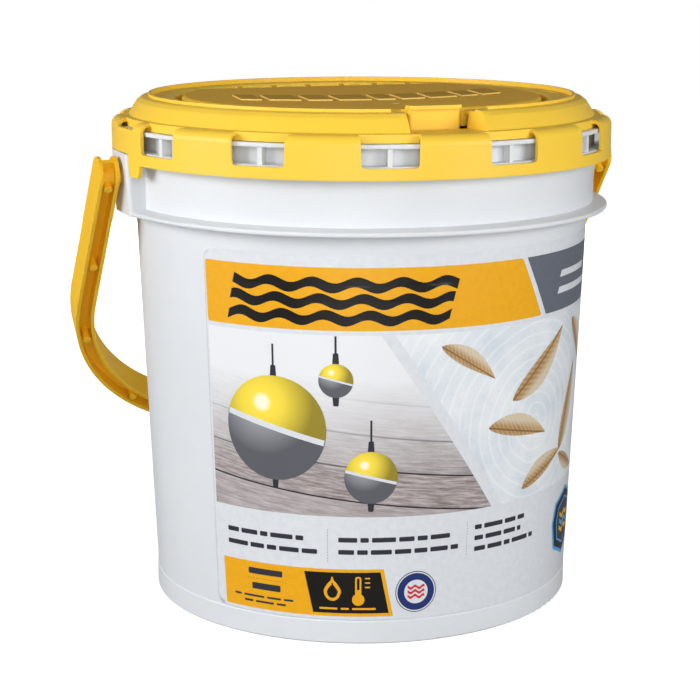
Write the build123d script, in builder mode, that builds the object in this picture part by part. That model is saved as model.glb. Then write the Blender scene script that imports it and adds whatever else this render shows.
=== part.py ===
from build123d import *
from math import asin, atan2, cos, degrees, hypot, radians, sin, tan
import os

os.makedirs("parts", exist_ok=True)

# Insulated bait bucket, in millimetres, +Z up.
# The origin is the centre of the foot on the floor. The latch faces -Y and the bail pivots along X.
# Angles round the bucket are counted from the latch, positive towards +X.

# Half the band within which corners and edges are chosen by their place
place_margin = 0.01

# Outer bucket: a tapered wall with a band at the foot
wall_foot_radius = 104.5
wall_spread = 8.0
wall_thickness = 2.2
foot_proud = 0.8
foot_corner = 1.2
foot_ring_width = 5.0
floor_raise = 2.5
floor_thickness = 2.4
band_height = 11.0
band_slope = 0.5

# Outer bucket: flange, collar and the two rings under the lid's skirt
flange_height = 196.0
flange_reach = 6.9
flange_droop = 0.6
flange_thickness = 2.2
flange_root_rise = 0.7
flange_round = 0.9
collar_step = 3.0
collar_thickness = 2.0
lower_ring_rise = 29.0
lower_ring_thickness = 1.7
ring_spacing = 7.7
rim_ring_reach = 5.5
rim_ring_thickness = 2.1
rim_rib_thickness = 2.2
rim_edge_round = 0.5

# Ears: the two blocks that hold the bail
ear_half_width = 15.0
ear_reach = 8.1
ear_taper = 1.4
ear_straight_height = 4.0
ear_corner = 2.0
pivot_rise = 17.5
pivot_pin_radius = 4.0
pivot_pin_length = 7.2
pivot_clearance = 0.07
pivot_end_gap = 0.6

# Foam liner: a thick cup with a step inside its rim
foam_gap = 1.0
foam_thickness_foot = 16.8
foam_floor = 18.0
foam_rim_rise = 1.5
foam_tongue_gap = 1.7
foam_ledge_depth = 14.0
foam_ledge_width = 7.1
foam_floor_round = 8.0
foam_rim_round = 1.0

# Label: a film on the wall
label_angles = (-60.5, 66.0)
label_above_band = 0.5
label_below_flange = 10.0
label_thickness = 0.2
label_gap = 0.03
label_corner_round = 4.0

# Lid ring: skirt, shelf, shoulder and bead, all of one thin wall
lid_wall = 1.8
skirt_clearance = 0.8
skirt_depth = 19.75
seat_gap = 0.2
shelf_rise = 3.9
skirt_round = 5.0
set_back_depth = 5.6
shoulder_inset = 2.8
shoulder_foot_rise = 0.3
shoulder_run = 4.0
shoulder_rise = 6.6
crown_run = 2.4
crown_rise = 1.8
crown_round = 2.0
bead_run = 3.4
bead_width = 1.5
bead_root_rise = 0.4
bead_rise = 1.35
annulus_drop = 0.4
annulus_width = 11.5
mouth_round = 1.2
seat_ledge_width = 6.9
seat_ledge_drop = 5.6
skirt_bead_proud = 0.4
skirt_bead_drop = 2.0

# Lid ring: the openings in its skirt and shelf
window_angles = (-166, -138, -110, -70, -42, -14, 14, 42, 70, 110, 138, 166)
window_width = 26.6
window_foot_width = 25.8
window_sill = 5.35
window_corner = 1.8
panel_round = 1.2
panel_land = 0.1
ear_slot_angles = (-85.7, 85.7)
ear_slot_width = 27.0
ear_slot_foot_width = 24.0
ear_slot_depth = 3.6
ear_slot_corner = 2.0
ear_side_gap = 0.5
ear_cut_gap = 0.4
lug_width = 12.8
lug_foot_width = 8.8
lug_corner = 1.2
lug_drop = 6.0

# Lid ring: the notch for the latch, the vents and the well behind the hatch
notch_front_half = 19.1
notch_back_half = 15.4
notch_lean = 7.0
bead_gap_half = 23.5
vent_angles = (-112, -84, -56, -28, 28, 56, 84, 112)
vent_inset = 4.3
vent_length = 12.0
vent_width = 2.0

# Hatch: a flat lid with a turned-down rim, a latch tab in front and a hinge rod behind
hatch_side_gap = 3.4
hatch_proud = 0.7
hatch_thickness = 1.8
hatch_rim_gap = 0.8
hatch_round = 2.2
hatch_chord = 57.0
tab_half_width = 12.6
tab_reach = 8.0
tab_thickness = 2.0
tab_drop = 18.5
tab_corner = 1.7
tab_gap = 0.6
tab_swing_gap = 1.8
lip_reach = 2.4
lip_height = 1.7
lip_raise = 0.5
catch_reach = 1.6
catch_drop = 7.0
catch_height = 2.2

# Hatch hinge
hinge_set_back = 4.8
hinge_drop = 3.3
hinge_rod_radius = 2.0
hinge_clearance = 0.06
hinge_rod_end = 0.25
knuckle_spacing = 18.5
knuckle_width = 3.0
knuckle_peak = 1.0
clip_width = 5.0
clip_radius = 3.8
clip_mouth = 2.6

# Bail handle: an I-section bow with round pegs across its channels
bail_stand_off = 1.85
bail_splay = 1.3
bail_straight = 85.5
bail_bend = 108.3
bail_depth = 9.6
bail_width = 16.5
bail_flange = 1.8
bail_web = 2.0
bail_end_reach = 1.7
bail_end_cap_radius = 5.4
bail_boss_radius = 6.0
bail_boss_gap = 0.6
bail_wall_gap = 0.6
bail_peg_radius = 2.0
bail_arm_pegs = (1.2, 56.0)
bail_bend_pegs = (14.5, 48.0, 76.0)

# Worked out from the sizes above: radii of the bucket, outwards from the wall
wall_flange_radius = wall_foot_radius + wall_spread
wall_rate = wall_spread / flange_height
foot_radius = wall_foot_radius + foot_proud
collar_radius = wall_flange_radius + collar_step
flange_radius = collar_radius + flange_reach
rim_ring_radius = collar_radius + rim_ring_reach
ear_top_radius = collar_radius + ear_reach
ear_bottom_radius = ear_top_radius - ear_taper
socket_bottom = ear_top_radius - pivot_pin_length

# Heights of the bucket
floor_top = floor_raise + floor_thickness
pivot_height = flange_height + pivot_rise
lower_ring_bottom = flange_height + lower_ring_rise
lower_ring_top = lower_ring_bottom + lower_ring_thickness
upper_ring_bottom = lower_ring_top + ring_spacing
rim_height = upper_ring_bottom + rim_ring_thickness
label_bottom = band_height + band_slope + label_above_band
label_top = flange_height - label_below_flange

# Radii of the lid ring, inwards from the skirt, which clears the rings on the rim
skirt_inside = rim_ring_radius + skirt_clearance
skirt_radius = skirt_inside + lid_wall
set_back_radius = skirt_radius - set_back_depth
shoulder_foot_radius = set_back_radius - shoulder_inset
shoulder_top_radius = shoulder_foot_radius - shoulder_run
crown_radius = shoulder_top_radius - crown_run
bead_outer_radius = crown_radius - bead_run
bead_inner_radius = bead_outer_radius - bead_width
mouth_radius = bead_inner_radius - annulus_width
seat_ledge_radius = mouth_radius - seat_ledge_width
vent_radius = bead_inner_radius - vent_inset

# Heights of the lid ring, which sits on the rim
shelf_height = rim_height + seat_gap + shelf_rise
shelf_underside = shelf_height - lid_wall
skirt_bottom = shelf_height - skirt_depth
skirt_bead_height = upper_ring_bottom - skirt_bead_drop
window_bottom = skirt_bottom + window_sill
ear_slot_bottom = shelf_height - ear_slot_depth
shoulder_top_height = shelf_height + shoulder_rise
crown_height = shoulder_top_height + crown_rise
bead_root_height = crown_height + bead_root_rise
bead_height = bead_root_height + bead_rise
annulus_height = crown_height - annulus_drop
seat_ledge_height = annulus_height - seat_ledge_drop

# Lugs beside the ears, which keep their distance from the bail's line, and the lean of the notch
ear_cut_half = ear_half_width + ear_side_gap
notch_lean_run = (crown_height - shelf_height) * tan(radians(notch_lean))

# Hatch, its tab and its hinge: they follow the mouth of the lid ring
hatch_radius = mouth_radius - hatch_side_gap
hatch_top = annulus_height + hatch_proud
hatch_rim_bottom = seat_ledge_height + hatch_rim_gap
tab_face = hatch_radius + tab_reach
notch_plate_edge = tab_face + tab_swing_gap
well_step = hatch_chord
well_front = well_step - lid_wall
hinge_back = hatch_chord + hinge_set_back
hinge_height = hatch_top - hinge_drop
hinge_rod_half = 2.5 * knuckle_spacing + knuckle_width / 2 + hinge_rod_end
knuckle_places = [knuckle_spacing * step for step in (-2.5, -1.5, -0.5, 0.5, 1.5, 2.5)]
clip_places = [knuckle_spacing * step for step in (-2, -1, 1, 2)]

# Foam liner: its rim clears the latch tab's tongue
foam_rim_bore = hypot(tab_face, tab_half_width) + foam_tongue_gap
foam_ledge_bore = foam_rim_bore - foam_ledge_width
foam_rim_height = rim_height + foam_rim_rise
foam_ledge_height = foam_rim_height - foam_ledge_depth

# Bail
bail_half_width = bail_width / 2
bail_half_span = ear_top_radius + bail_stand_off + bail_depth
bail_corner_x = bail_half_span + bail_splay - bail_bend
bail_inner_reach = bail_straight + bail_bend - bail_depth


def wall_radius(height):
    return wall_foot_radius + wall_rate * height


def from_latch(angle):
    """The angle from +X, for a place counted from the latch at -Y."""
    return angle - 90


# The bail rests on the wall behind, and swings over to rest on the label in front.
# Its lean from straight down follows from its reach and the cone.
lean_sine_part = bail_inner_reach + wall_rate * bail_half_width
lean_cosine_part = wall_rate * bail_inner_reach - bail_half_width
lean_target = wall_radius(pivot_height) + label_thickness + bail_wall_gap
bail_lean = degrees(
    asin(lean_target / hypot(lean_sine_part, lean_cosine_part))
    - atan2(lean_cosine_part, lean_sine_part)
)


# Ears: the two blocks that hold the bail
with BuildPart() as ears:
    with BuildSketch(Plane.XZ):
        with BuildLine():
            Polyline(
                (collar_radius - collar_thickness / 2, flange_height - flange_droop),
                (ear_bottom_radius, flange_height - flange_droop),
                (ear_top_radius, lower_ring_bottom - ear_straight_height),
                (ear_top_radius, lower_ring_bottom),
                (collar_radius - collar_thickness / 2, lower_ring_bottom),
                close=True,
            )
        make_face()
    extrude(amount=ear_half_width, both=True)
    ear_corners = ears.edges().filter_by_position(
        Axis.X, ear_bottom_radius - place_margin, ear_top_radius + place_margin
    )
    fillet(ear_corners.filter_by(Axis.Y, reverse=True), radius=ear_corner)
    mirror(about=Plane.YZ)

# Outer bucket
with BuildPart() as outer_bucket:
    with BuildSketch(Plane.XZ) as bucket_profile:
        with BuildLine():
            Polyline(
                (0, floor_raise),
                (foot_radius - foot_ring_width, floor_raise),
                (foot_radius - foot_ring_width, 0),
                (foot_radius, 0),
                (foot_radius, band_height),
                (wall_radius(band_height), band_height + band_slope),
                (wall_radius(flange_height), flange_height),
                (flange_radius, flange_height - flange_droop),
                (flange_radius, flange_height - flange_droop + flange_thickness),
                (collar_radius, flange_height + flange_thickness + flange_root_rise),
                (collar_radius, lower_ring_bottom),
                (rim_ring_radius, lower_ring_bottom),
                (rim_ring_radius, lower_ring_top),
                (collar_radius, lower_ring_top),
                (collar_radius, upper_ring_bottom),
                (rim_ring_radius, upper_ring_bottom),
                (rim_ring_radius, rim_height),
                (collar_radius - collar_thickness, rim_height),
                (collar_radius - collar_thickness, flange_height + flange_thickness),
                (wall_radius(flange_height) - wall_thickness, flange_height),
                (wall_radius(floor_top) - wall_thickness, floor_top),
                (0, floor_top),
                close=True,
            )
        make_face()
        foot_points = bucket_profile.vertices().filter_by_position(Axis.Y, -place_margin, place_margin)
        fillet(foot_points.sort_by(Axis.X)[-1], radius=foot_corner)
        ring_points = bucket_profile.vertices().filter_by_position(
            Axis.X, rim_ring_radius - place_margin, rim_ring_radius + place_margin
        )
        fillet(ring_points, radius=rim_edge_round)
        flange_points = bucket_profile.vertices().filter_by_position(
            Axis.X, flange_radius - place_margin, flange_radius + place_margin
        )
        fillet(flange_points, radius=flange_round)
    revolve(axis=Axis.Z)

    # Ribs between the two rings, one behind the middle of each window
    with BuildSketch(Plane.XY.offset(lower_ring_top - lower_ring_thickness / 2)):
        for angle in window_angles:
            with PolarLocations((collar_radius + rim_ring_radius) / 2 - rim_edge_round, 1, from_latch(angle)):
                Rectangle(rim_ring_radius - collar_radius, rim_rib_thickness)
    extrude(amount=rim_height - lower_ring_top)

    # The flange stops at the ears, which take its place
    with BuildSketch(Plane.XY.offset(flange_height - flange_droop - flange_thickness)):
        Rectangle(3 * flange_radius, 2 * ear_half_width)
        Circle(collar_radius, mode=Mode.SUBTRACT)
    extrude(amount=3 * flange_thickness + flange_root_rise, mode=Mode.SUBTRACT)
    add(ears)

    # Blind sockets for the pins of the bail
    for side in (1, -1):
        with BuildSketch(Plane.YZ.offset(side * socket_bottom)):
            with Locations((0, pivot_height)):
                Circle(pivot_pin_radius + pivot_clearance)
        extrude(amount=side * flange_radius, mode=Mode.SUBTRACT)
outer_bucket.part.label = "outer_bucket"
export_step(outer_bucket.part, "parts/outer_bucket.step")

# Foam liner
with BuildPart() as foam_liner:
    foam_top_outer = collar_radius - collar_thickness - foam_gap
    foam_wall_outer = wall_radius(flange_height) - wall_thickness - foam_gap
    foam_foot_outer = wall_radius(floor_top) - wall_thickness - foam_gap
    with BuildSketch(Plane.XZ) as foam_profile:
        with BuildLine():
            Polyline(
                (0, floor_top),
                (foam_foot_outer, floor_top),
                (foam_wall_outer, flange_height),
                (foam_top_outer, flange_height + 2 * flange_thickness),
                (foam_top_outer, foam_rim_height),
                (foam_rim_bore, foam_rim_height),
                (foam_rim_bore, foam_ledge_height),
                (foam_ledge_bore, foam_ledge_height),
                (foam_foot_outer - foam_thickness_foot, floor_top + foam_floor),
                (0, floor_top + foam_floor),
                close=True,
            )
        make_face()
        well_points = foam_profile.vertices().filter_by_position(
            Axis.Y, floor_top + foam_floor - place_margin, floor_top + foam_floor + place_margin
        )
        fillet(well_points.sort_by(Axis.X)[-1], radius=foam_floor_round)
        rim_points = foam_profile.vertices().filter_by_position(
            Axis.Y, foam_ledge_height + place_margin, foam_rim_height + place_margin
        )
        fillet(rim_points, radius=foam_rim_round)
    revolve(axis=Axis.Z)
foam_liner.part.label = "foam_liner"
export_step(foam_liner.part, "parts/foam_liner.step")

# Label: a ring of film, cut to the label's outline seen square to its middle
label_middle = (label_angles[0] + label_angles[1]) / 2
label_spread = radians(label_angles[1] - label_angles[0]) / 2
with BuildPart() as label:
    with BuildSketch(Plane.XZ):
        with BuildLine():
            Polyline(
                (wall_radius(label_bottom) + label_gap, label_bottom),
                (wall_radius(label_top) + label_gap, label_top),
                (wall_radius(label_top) + label_gap + label_thickness, label_top),
                (wall_radius(label_bottom) + label_gap + label_thickness, label_bottom),
                close=True,
            )
        make_face()
    revolve(axis=Axis.Z)
    with BuildSketch(Plane.YZ.rotated((0, 0, from_latch(label_middle)))) as outline:
        label_half_top = wall_radius(label_top) * sin(label_spread)
        label_half_bottom = wall_radius(label_bottom) * sin(label_spread)
        with BuildLine():
            Polyline(
                (-label_half_bottom, label_bottom),
                (-label_half_top, label_top),
                (label_half_top, label_top),
                (label_half_bottom, label_bottom),
                close=True,
            )
        make_face()
        fillet(outline.vertices(), radius=label_corner_round)
    extrude(amount=wall_flange_radius + label_thickness, mode=Mode.INTERSECT)
label.part.label = "label"
export_step(label.part, "parts/label.step")


def opening_cutter(width, foot_width, bottom, corner):
    """A cutter that takes the skirt and the shelf, and leaves the set-back wall behind them."""
    with BuildPart() as cutter:
        with BuildSketch(Plane.YZ.offset(set_back_radius - 4 * lid_wall)) as shape:
            flare = width / 2 + panel_round + panel_land
            with BuildLine():
                Polyline(
                    (-flare, shelf_height + lid_wall),
                    (-flare, shelf_height),
                    (-width / 2, shelf_height),
                    (-foot_width / 2, bottom),
                    (foot_width / 2, bottom),
                    (width / 2, shelf_height),
                    (flare, shelf_height),
                    (flare, shelf_height + lid_wall),
                    close=True,
                )
            make_face()
            fillet(shape.vertices().group_by(Axis.Y)[0], radius=corner)
            panel_points = shape.vertices().filter_by_position(
                Axis.X, -width / 2 - place_margin, width / 2 + place_margin
            )
            fillet(panel_points.group_by(Axis.Y)[-1], radius=panel_round)
        extrude(amount=skirt_radius - set_back_radius + 8 * lid_wall)
        with BuildSketch(Plane.XY.offset(bottom - lid_wall)):
            Circle(set_back_radius)
        extrude(amount=rim_height, mode=Mode.SUBTRACT)
    return cutter.part


window_cutter = opening_cutter(window_width, window_foot_width, window_bottom, window_corner)
ear_slot_cutter = opening_cutter(ear_slot_width, ear_slot_foot_width, ear_slot_bottom, ear_slot_corner)

# Solid behind the notch's walls: the ring's own section, filled and cut to the notch's width
with BuildPart() as notch_block:
    with BuildSketch(Plane.XZ):
        with BuildLine():
            Polyline(
                (notch_plate_edge, shelf_underside),
                (set_back_radius, shelf_underside),
                (set_back_radius, shelf_height),
                (shoulder_foot_radius, shelf_height + shoulder_foot_rise),
                (shoulder_top_radius, shoulder_top_height),
                (crown_radius, crown_height),
                (bead_outer_radius, bead_root_height),
                (bead_inner_radius, annulus_height),
                (notch_plate_edge, annulus_height),
                close=True,
            )
        make_face()
    revolve(axis=Axis.Z)
    with BuildSketch(Plane.XY.offset(shelf_underside)):
        with Locations((0, -skirt_radius)):
            Rectangle(2 * (notch_front_half + notch_lean_run + lid_wall), skirt_radius)
    extrude(amount=bead_height, mode=Mode.INTERSECT)

# Lugs of the lid ring: each is narrower at its foot
with BuildPart() as lugs:
    with BuildSketch(Plane.XY.offset(skirt_bottom - lug_drop)):
        Circle(skirt_radius)
        Circle(skirt_inside, mode=Mode.SUBTRACT)
    extrude(amount=lug_drop + lid_wall)
    with BuildSketch(Plane.YZ) as lug_shape:
        lug_lean = (lug_width - lug_foot_width) / 2
        for side in (1, -1):
            with BuildLine():
                Polyline(
                    (side * ear_cut_half, skirt_bottom + lid_wall),
                    (side * ear_cut_half, skirt_bottom),
                    (side * (ear_cut_half + lug_lean), skirt_bottom - lug_drop),
                    (side * (ear_cut_half + lug_width - lug_lean), skirt_bottom - lug_drop),
                    (side * (ear_cut_half + lug_width), skirt_bottom),
                    (side * (ear_cut_half + lug_width), skirt_bottom + lid_wall),
                    close=True,
                )
            make_face()
        fillet(lug_shape.vertices().group_by(Axis.Y)[0], radius=lug_corner)
    extrude(amount=skirt_radius, both=True, mode=Mode.INTERSECT)

# Lid ring
with BuildPart() as lid_ring:
    with BuildSketch(Plane.XZ) as ring_profile:
        with BuildLine():
            Polyline(
                (skirt_inside, skirt_bottom),
                (skirt_radius, skirt_bottom),
                (skirt_radius, shelf_height),
                (set_back_radius, shelf_height),
                (shoulder_foot_radius, shelf_height + shoulder_foot_rise),
                (shoulder_top_radius, shoulder_top_height),
                (crown_radius, crown_height),
                (bead_outer_radius, bead_root_height),
                (bead_outer_radius, bead_height),
                (bead_inner_radius, bead_height),
                (bead_inner_radius, annulus_height),
                (mouth_radius, annulus_height),
                (mouth_radius - lid_wall / 2, seat_ledge_height),
                (seat_ledge_radius, seat_ledge_height),
                (seat_ledge_radius, seat_ledge_height - lid_wall),
                (mouth_radius + lid_wall, seat_ledge_height - lid_wall),
                (mouth_radius + lid_wall, annulus_height - lid_wall),
                (bead_outer_radius, annulus_height - lid_wall),
                (bead_outer_radius + lid_wall, bead_root_height - lid_wall * 1.1),
                (crown_radius - lid_wall * 0.4, crown_height - lid_wall),
                (shoulder_top_radius - lid_wall * 0.9, shoulder_top_height - lid_wall * 0.9),
                (shoulder_foot_radius - lid_wall, shelf_height),
                (set_back_radius - lid_wall, shelf_height - lid_wall * 0.6),
                (set_back_radius - lid_wall, rim_height + seat_gap),
                (set_back_radius, rim_height + seat_gap),
                (set_back_radius, shelf_underside),
                (skirt_inside, shelf_underside),
                (skirt_inside, skirt_bead_height + 2 * skirt_bead_proud),
                (skirt_inside - skirt_bead_proud, skirt_bead_height),
                (skirt_inside, skirt_bead_height - 2 * skirt_bead_proud),
                close=True,
            )
        make_face()
        skirt_points = ring_profile.vertices().filter_by_position(
            Axis.X, skirt_radius - place_margin, skirt_radius + place_margin
        )
        skirt_fillet = min(skirt_round, 0.85 * set_back_depth)
        fillet(skirt_points.sort_by(Axis.Y)[-1], radius=skirt_fillet)
        inner_points = ring_profile.vertices().filter_by_position(
            Axis.X, skirt_inside - place_margin, skirt_inside + place_margin
        )
        fillet(inner_points.sort_by(Axis.Y)[-1], radius=skirt_fillet - lid_wall)
        crown_points = ring_profile.vertices().filter_by_position(
            Axis.X, crown_radius - place_margin, shoulder_top_radius + place_margin
        ).filter_by_position(Axis.Y, shoulder_top_height - place_margin, crown_height + place_margin)
        fillet(crown_points, radius=crown_round)
        mouth_point = ring_profile.vertices().filter_by_position(
            Axis.X, mouth_radius - place_margin, mouth_radius + place_margin
        )
        fillet(mouth_point, radius=mouth_round)
    revolve(axis=Axis.Z)

    # Windows, and the shallow slots over the ears
    for angle in window_angles:
        with PolarLocations(0, 1, from_latch(angle)):
            add(window_cutter, mode=Mode.SUBTRACT)
    for angle in ear_slot_angles:
        with PolarLocations(0, 1, from_latch(angle)):
            add(ear_slot_cutter, mode=Mode.SUBTRACT)

    # The skirt is shorter over each ear, and a lug hangs down on each side of it
    with BuildSketch(Plane.XY.offset(skirt_bottom - lid_wall)):
        Rectangle(3 * skirt_radius, 2 * ear_cut_half)
        Circle(collar_radius, mode=Mode.SUBTRACT)
    extrude(amount=lower_ring_bottom + ear_cut_gap - skirt_bottom + lid_wall, mode=Mode.SUBTRACT)
    add(lugs)

    # Latch notch: a floor at shelf height between two walls
    add(notch_block)
    with BuildSketch(Plane.XY.offset(shelf_height)):
        with BuildLine():
            Polyline(
                (-notch_back_half, -mouth_radius),
                (-notch_back_half, -notch_plate_edge),
                (-notch_front_half, -set_back_radius),
                (-notch_front_half, -skirt_radius),
                (notch_front_half, -skirt_radius),
                (notch_front_half, -set_back_radius),
                (notch_back_half, -notch_plate_edge),
                (notch_back_half, -mouth_radius),
                close=True,
            )
        make_face()
    extrude(amount=bead_height - shelf_height + lid_wall, taper=-notch_lean, mode=Mode.SUBTRACT)
    with BuildSketch(Plane.XY.offset(bead_root_height)):
        with Locations((0, -bead_outer_radius)):
            Rectangle(2 * bead_gap_half, bead_outer_radius / 4)
    extrude(amount=bead_height, mode=Mode.SUBTRACT)
    with BuildSketch(Plane.XY.offset(shelf_underside - lid_wall)):
        with Locations((0, -notch_plate_edge)):
            tongue_way = notch_plate_edge - seat_ledge_radius + 2 * tab_thickness
            Rectangle(2 * (tab_half_width + tab_gap), tongue_way, align=(Align.CENTER, Align.MIN))
    extrude(amount=bead_height, mode=Mode.SUBTRACT)

    # Vent slots
    with BuildSketch(Plane.XY.offset(annulus_height - 2 * lid_wall)):
        for angle in vent_angles:
            with PolarLocations(vent_radius, 1, from_latch(angle)):
                SlotOverall(vent_length, vent_width, rotation=90)
    extrude(amount=4 * lid_wall, mode=Mode.SUBTRACT)

    # The well behind the hatch: there the seat gives way to a low floor, with a wall round it
    with BuildSketch(Plane.XY.offset(shelf_underside - lid_wall)):
        with Locations((0, well_step)):
            Rectangle(2 * skirt_radius, skirt_radius, align=(Align.CENTER, Align.MIN))
        Circle(mouth_radius - lid_wall / 2, mode=Mode.INTERSECT)
    extrude(amount=bead_height, mode=Mode.SUBTRACT)
    with BuildSketch(Plane.XY.offset(shelf_underside)):
        with Locations((0, well_front)):
            Rectangle(2 * skirt_radius, skirt_radius, align=(Align.CENTER, Align.MIN))
        Circle(mouth_radius + lid_wall, mode=Mode.INTERSECT)
    extrude(amount=lid_wall)
    with BuildSketch(Plane.XY.offset(shelf_underside)):
        with Locations((0, well_front)):
            Rectangle(2 * skirt_radius, skirt_radius, align=(Align.CENTER, Align.MIN))
        Circle(mouth_radius + lid_wall, mode=Mode.INTERSECT)
        Circle(mouth_radius - lid_wall / 2, mode=Mode.SUBTRACT)
    extrude(amount=annulus_height - shelf_underside - lid_wall)
    with BuildSketch(Plane.XY.offset(shelf_underside)):
        with Locations((0, well_front)):
            Rectangle(2 * skirt_radius, lid_wall, align=(Align.CENTER, Align.MIN))
        Circle(mouth_radius + lid_wall, mode=Mode.INTERSECT)
    extrude(amount=seat_ledge_height - shelf_underside)

    # Hinge clips: a ring on a post, open at the top so that the rod presses in
    for place in clip_places:
        with BuildSketch(Plane.YZ.offset(place - clip_width / 2)):
            with Locations((hinge_back, hinge_height)):
                Circle(clip_radius)
            with Locations((hinge_back, (hinge_height + shelf_underside) / 2)):
                Rectangle(2 * clip_radius, hinge_height - shelf_underside)
            with Locations((hinge_back, hinge_height)):
                Circle(hinge_rod_radius + hinge_clearance, mode=Mode.SUBTRACT)
            with Locations((hinge_back, hinge_height + clip_radius)):
                Rectangle(clip_mouth, 2 * clip_radius, mode=Mode.SUBTRACT)
        extrude(amount=clip_width)
lid_ring.part.label = "lid_ring"
export_step(lid_ring.part, "parts/lid_ring.step")

# Hatch
with BuildPart() as hatch:
    with BuildSketch(Plane.XZ) as hatch_profile:
        with BuildLine():
            Polyline(
                (0, hatch_top),
                (hatch_radius, hatch_top),
                (hatch_radius, hatch_rim_bottom),
                (hatch_radius - hatch_thickness, hatch_rim_bottom),
                (hatch_radius - hatch_thickness, hatch_top - hatch_thickness),
                (0, hatch_top - hatch_thickness),
                close=True,
            )
        make_face()
        edge_points = hatch_profile.vertices().filter_by_position(
            Axis.X, hatch_radius - place_margin, hatch_radius + place_margin
        )
        fillet(edge_points.sort_by(Axis.Y)[-1], radius=hatch_round)
    revolve(axis=Axis.Z)
    with BuildSketch(Plane.XY.offset(seat_ledge_height)):
        with Locations((0, hatch_chord - hatch_radius)):
            Rectangle(3 * hatch_radius, 2 * hatch_radius)
    extrude(amount=bead_height, mode=Mode.INTERSECT)

    # Latch tab: a bridge over the groove, an upright face with a lip, and a tongue into the mouth
    with BuildSketch(Plane.YZ.offset(-tab_half_width)):
        with BuildLine():
            Polyline(
                (-tab_face, hatch_top + lip_raise),
                (-tab_face - lip_reach, hatch_top + lip_raise),
                (-tab_face - lip_reach, hatch_top + lip_raise + lip_height),
                (-tab_face + 2 * tab_thickness, hatch_top + lip_raise + lip_height),
                (-tab_face + 3 * tab_thickness, hatch_top),
                (-hatch_radius + 2 * hatch_round, hatch_top),
                (-hatch_radius + 2 * hatch_round, hatch_top - hatch_thickness),
                (-tab_face + tab_thickness, hatch_top - hatch_thickness),
                (-tab_face + tab_thickness, hatch_top - catch_drop),
                (-tab_face + tab_thickness + catch_reach, hatch_top - catch_drop),
                (-tab_face + tab_thickness + catch_reach, hatch_top - catch_drop - catch_height),
                (-tab_face + tab_thickness, hatch_top - catch_drop - catch_height),
                (-tab_face + tab_thickness, hatch_top - tab_drop),
                (-tab_face, hatch_top - tab_drop),
                close=True,
            )
        make_face()
    extrude(amount=2 * tab_half_width)
    tab_edges = hatch.edges().filter_by(Axis.Z).filter_by_position(
        Axis.Y, -tab_face - lip_reach - place_margin, -tab_face + place_margin
    )
    fillet(tab_edges, radius=tab_corner)

    # Hinge rod on its knuckles
    with BuildSketch(Plane.YZ.offset(-hinge_rod_half)):
        with Locations((hinge_back, hinge_height)):
            Circle(hinge_rod_radius)
    extrude(amount=2 * hinge_rod_half)
    for place in knuckle_places:
        with BuildSketch(Plane.YZ.offset(place - knuckle_width / 2)):
            with BuildLine():
                Polyline(
                    (hatch_chord - hatch_thickness, hatch_top),
                    (hatch_chord + hatch_thickness / 2, hatch_top + knuckle_peak),
                    (hinge_back + hinge_rod_radius, hinge_height),
                    (hinge_back, hinge_height - hinge_rod_radius),
                    (hatch_chord - hatch_thickness, hatch_top - hatch_thickness),
                    close=True,
                )
            make_face()
        extrude(amount=knuckle_width)
hatch.part.label = "hatch"
export_step(hatch.part, "parts/hatch.step")


# Bail handle: drawn in its own plane, whose Y runs from the pivots towards the grip
bail_plane = Plane(
    origin=(0, 0, pivot_height),
    x_dir=(1, 0, 0),
    z_dir=(0, cos(radians(bail_lean)), sin(radians(bail_lean))),
)


def arm_middle(reach):
    """How far out the middle of an arm is, at a reach from the pivots: the arms lean outwards."""
    return bail_half_span - bail_depth / 2 + bail_splay * reach / bail_straight


def bow(outer_depth, inner_depth):
    """The bow's outline in the bail's plane, between two depths from its outer edge."""
    with BuildSketch(bail_plane) as band:
        for depth, mode in ((outer_depth, Mode.ADD), (inner_depth, Mode.SUBTRACT)):
            bend = bail_bend - depth
            end_x = arm_middle(-bail_width) + bail_depth / 2 - depth
            bend_x = arm_middle(bail_straight) + bail_depth / 2 - depth
            with BuildLine():
                right = Line((end_x, -bail_width), (bend_x, bail_straight))
                right_bend = CenterArc((bail_corner_x, bail_straight), bend, 0, 90)
                Line(right_bend @ 1, (-bail_corner_x, bail_straight + bend))
                CenterArc((-bail_corner_x, bail_straight), bend, 90, 90)
                left = Line((-bend_x, bail_straight), (-end_x, -bail_width))
                Line(left @ 1, right @ 0)
            make_face(mode=mode)
    return band.sketch


end_plane = Plane(origin=(0, 0, pivot_height), x_dir=bail_plane.y_dir, z_dir=(1, 0, 0))

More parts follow.
